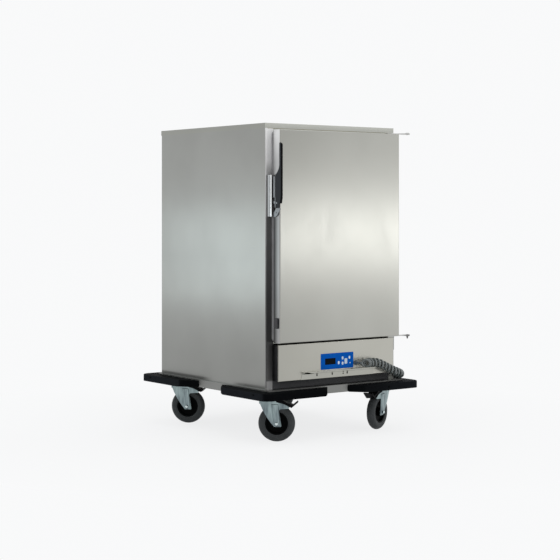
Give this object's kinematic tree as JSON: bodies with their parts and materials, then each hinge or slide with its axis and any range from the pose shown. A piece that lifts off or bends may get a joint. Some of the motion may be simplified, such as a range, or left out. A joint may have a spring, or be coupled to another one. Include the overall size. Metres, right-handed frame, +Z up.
{
  "type": "heated banquet trolley",
  "caption": "Insulated stainless cabinet on swivel casters with a side-hinged door, corner bumpers, a heating module in the base and a curly mains cord; keeps catering pans hot.",
  "frame": {"origin": "on the floor, under the centre of the corner bumpers' outline", "axes": "+Z up, -Y out of the door, +X towards the door's hinges"},
  "size_m": [0.88, 1.01, 1.377],
  "materials": {
    "stainless_sheet": "satin",
    "door_sheet": "satin",
    "liner_sheet": "satin",
    "bright_frame": "polished",
    "hinge_steel": "satin",
    "handle_tube": "satin",
    "bumper_plastic": "satin",
    "seal_rubber": "matte",
    "black_plastic": "satin",
    "bright_chrome": "polished",
    "wool_slab": "matte",
    "blue_foil": "satin",
    "display_black": "gloss",
    "key_plastic": "satin",
    "cord_sheath": "satin",
    "plug_plastic": "matte",
    "heater_tube": "matte",
    "motor_metal": "satin",
    "caster_zinc": "satin",
    "hub_plastic": "satin",
    "tread_rubber": "matte",
    "pedal_plastic": "satin"
  },
  "bodies": {
    "cabinet": {"roof_cap": "stainless_sheet", "side_panel_left": "stainless_sheet", "side_panel_right": "stainless_sheet", "back_panel": "stainless_sheet", "front_frame": "stainless_sheet", "inner_liner": "liner_sheet", "cabinet_insulation": "wool_slab", "pan_racks": "liner_sheet", "base_frame": "bright_frame", "bumper_front_left": "bumper_plastic", "bumper_front_right": "bumper_plastic", "bumper_rear_left": "bumper_plastic", "bumper_rear_right": "bumper_plastic", "control_panel": "stainless_sheet", "module_housing": "stainless_sheet", "keypad_foil": "blue_foil", "display_unit": "display_black", "grip_ledge": "stainless_sheet", "cord_gland": "black_plastic", "curly_cord": "cord_sheath", "power_plug": "plug_plastic", "heating_element": "heater_tube", "fan_motor": "motor_metal", "latch_keeper": "bright_chrome", "hinge_brackets": "hinge_steel", "push_handles": "handle_tube", "caster_plates": "caster_zinc"},
    "fan": {"fan_rotor": "motor_metal"},
    "power_key": {"key_power": "key_plastic"},
    "up_key": {"key_up": "key_plastic"},
    "down_key": {"key_down": "key_plastic"},
    "door": {"door_skin": "door_sheet", "door_liner": "door_sheet", "door_insulation": "wool_slab", "door_gasket": "seal_rubber", "door_catch": "black_plastic", "hinge_arms": "hinge_steel", "latch_housing": "bright_chrome"},
    "lever": {"latch_lever": "black_plastic", "latch_hook": "hinge_steel"},
    "front_left_swivel": {"front_left_fork": "caster_zinc", "front_left_axle": "caster_zinc"},
    "front_left_wheel": {"front_left_hub": "hub_plastic", "front_left_tyre": "tread_rubber"},
    "front_left_brake": {"front_left_pedal": "pedal_plastic"},
    "front_right_swivel": {"front_right_fork": "caster_zinc", "front_right_axle": "caster_zinc"},
    "front_right_wheel": {"front_right_hub": "hub_plastic", "front_right_tyre": "tread_rubber"},
    "front_right_brake": {"front_right_pedal": "pedal_plastic"},
    "rear_left_swivel": {"rear_left_fork": "caster_zinc", "rear_left_axle": "caster_zinc"},
    "rear_left_wheel": {"rear_left_hub": "hub_plastic", "rear_left_tyre": "tread_rubber"},
    "rear_left_brake": {"rear_left_pedal": "pedal_plastic"},
    "rear_right_swivel": {"rear_right_fork": "caster_zinc", "rear_right_axle": "caster_zinc"},
    "rear_right_wheel": {"rear_right_hub": "hub_plastic", "rear_right_tyre": "tread_rubber"},
    "rear_right_brake": {"rear_right_pedal": "pedal_plastic"}
  },
  "joints": [
    {"name": "fan_spin", "type": "hinge", "parent": "cabinet", "child": "fan", "pos_m": [0, 0.12, 0.3304], "axis": [0, 0, 1], "continuous": true},
    {"name": "door_hinge", "type": "hinge", "parent": "cabinet", "child": "door", "pos_m": [0.411, -0.444, 0.889], "axis": [0, 0, 1], "range_deg": [0, 270]},
    {"name": "lever_pull", "type": "hinge", "parent": "door", "child": "lever", "pos_m": [-0.3444, -0.46, 1.032], "axis": [-1, 0, 0], "range_deg": [-25, 0], "stiffness_Nm_per_rad": 1.2, "springref_deg": 8.59},
    {"name": "power_key_press", "type": "slide", "parent": "cabinet", "child": "power_key", "axis": [0, 1, 0], "range_m": [0, 0.0008], "stiffness_N_per_m": 500, "springref_m": -0.0004},
    {"name": "up_key_press", "type": "slide", "parent": "cabinet", "child": "up_key", "axis": [0, 1, 0], "range_m": [0, 0.0008], "stiffness_N_per_m": 500, "springref_m": -0.0004},
    {"name": "down_key_press", "type": "slide", "parent": "cabinet", "child": "down_key", "axis": [0, 1, 0], "range_m": [0, 0.0008], "stiffness_N_per_m": 500, "springref_m": -0.0004},
    {"name": "front_left_swivel_turn", "type": "hinge", "parent": "cabinet", "child": "front_left_swivel", "pos_m": [-0.333, -0.356, 0.178], "axis": [0, 0, 1], "continuous": true},
    {"name": "front_left_wheel_roll", "type": "hinge", "parent": "front_left_swivel", "child": "front_left_wheel", "pos_m": [-0.2947, -0.38814, 0.08], "axis": [0.6428, 0.766, 0], "continuous": true},
    {"name": "front_left_brake_press", "type": "hinge", "parent": "front_left_swivel", "child": "front_left_brake", "pos_m": [-0.30006, -0.38364, 0.177], "axis": [0.6428, 0.766, 0], "range_deg": [0, 6]},
    {"name": "front_right_swivel_turn", "type": "hinge", "parent": "cabinet", "child": "front_right_swivel", "pos_m": [0.333, -0.356, 0.178], "axis": [0, 0, 1], "continuous": true},
    {"name": "front_right_wheel_roll", "type": "hinge", "parent": "front_right_swivel", "child": "front_right_wheel", "pos_m": [0.28697, -0.37554, 0.08], "axis": [0.3907, -0.9205, 0], "continuous": true},
    {"name": "front_right_brake_press", "type": "hinge", "parent": "front_right_swivel", "child": "front_right_brake", "pos_m": [0.29342, -0.3728, 0.177], "axis": [0.3907, -0.9205, 0], "range_deg": [0, 6]},
    {"name": "rear_left_swivel_turn", "type": "hinge", "parent": "cabinet", "child": "rear_left_swivel", "pos_m": [-0.325, 0.35, 0.178], "axis": [0, 0, 1], "continuous": true},
    {"name": "rear_left_wheel_roll", "type": "hinge", "parent": "rear_left_swivel", "child": "rear_left_wheel", "pos_m": [-0.29154, 0.31284, 0.08], "axis": [0.7431, 0.6691, 0], "continuous": true},
    {"name": "rear_left_brake_press", "type": "hinge", "parent": "rear_left_swivel", "child": "rear_left_brake", "pos_m": [-0.29623, 0.31805, 0.177], "axis": [0.7431, 0.6691, 0], "range_deg": [0, 6]},
    {"name": "rear_right_swivel_turn", "type": "hinge", "parent": "cabinet", "child": "rear_right_swivel", "pos_m": [0.325, 0.35, 0.178], "axis": [0, 0, 1], "continuous": true},
    {"name": "rear_right_wheel_roll", "type": "hinge", "parent": "rear_right_swivel", "child": "rear_right_wheel", "pos_m": [0.28502, 0.38002, 0.08], "axis": [-0.6004, -0.7997, 0], "continuous": true},
    {"name": "rear_right_brake_press", "type": "hinge", "parent": "rear_right_swivel", "child": "rear_right_brake", "pos_m": [0.29061, 0.37582, 0.177], "axis": [-0.6004, -0.7997, 0], "range_deg": [0, 6]}
  ]
}
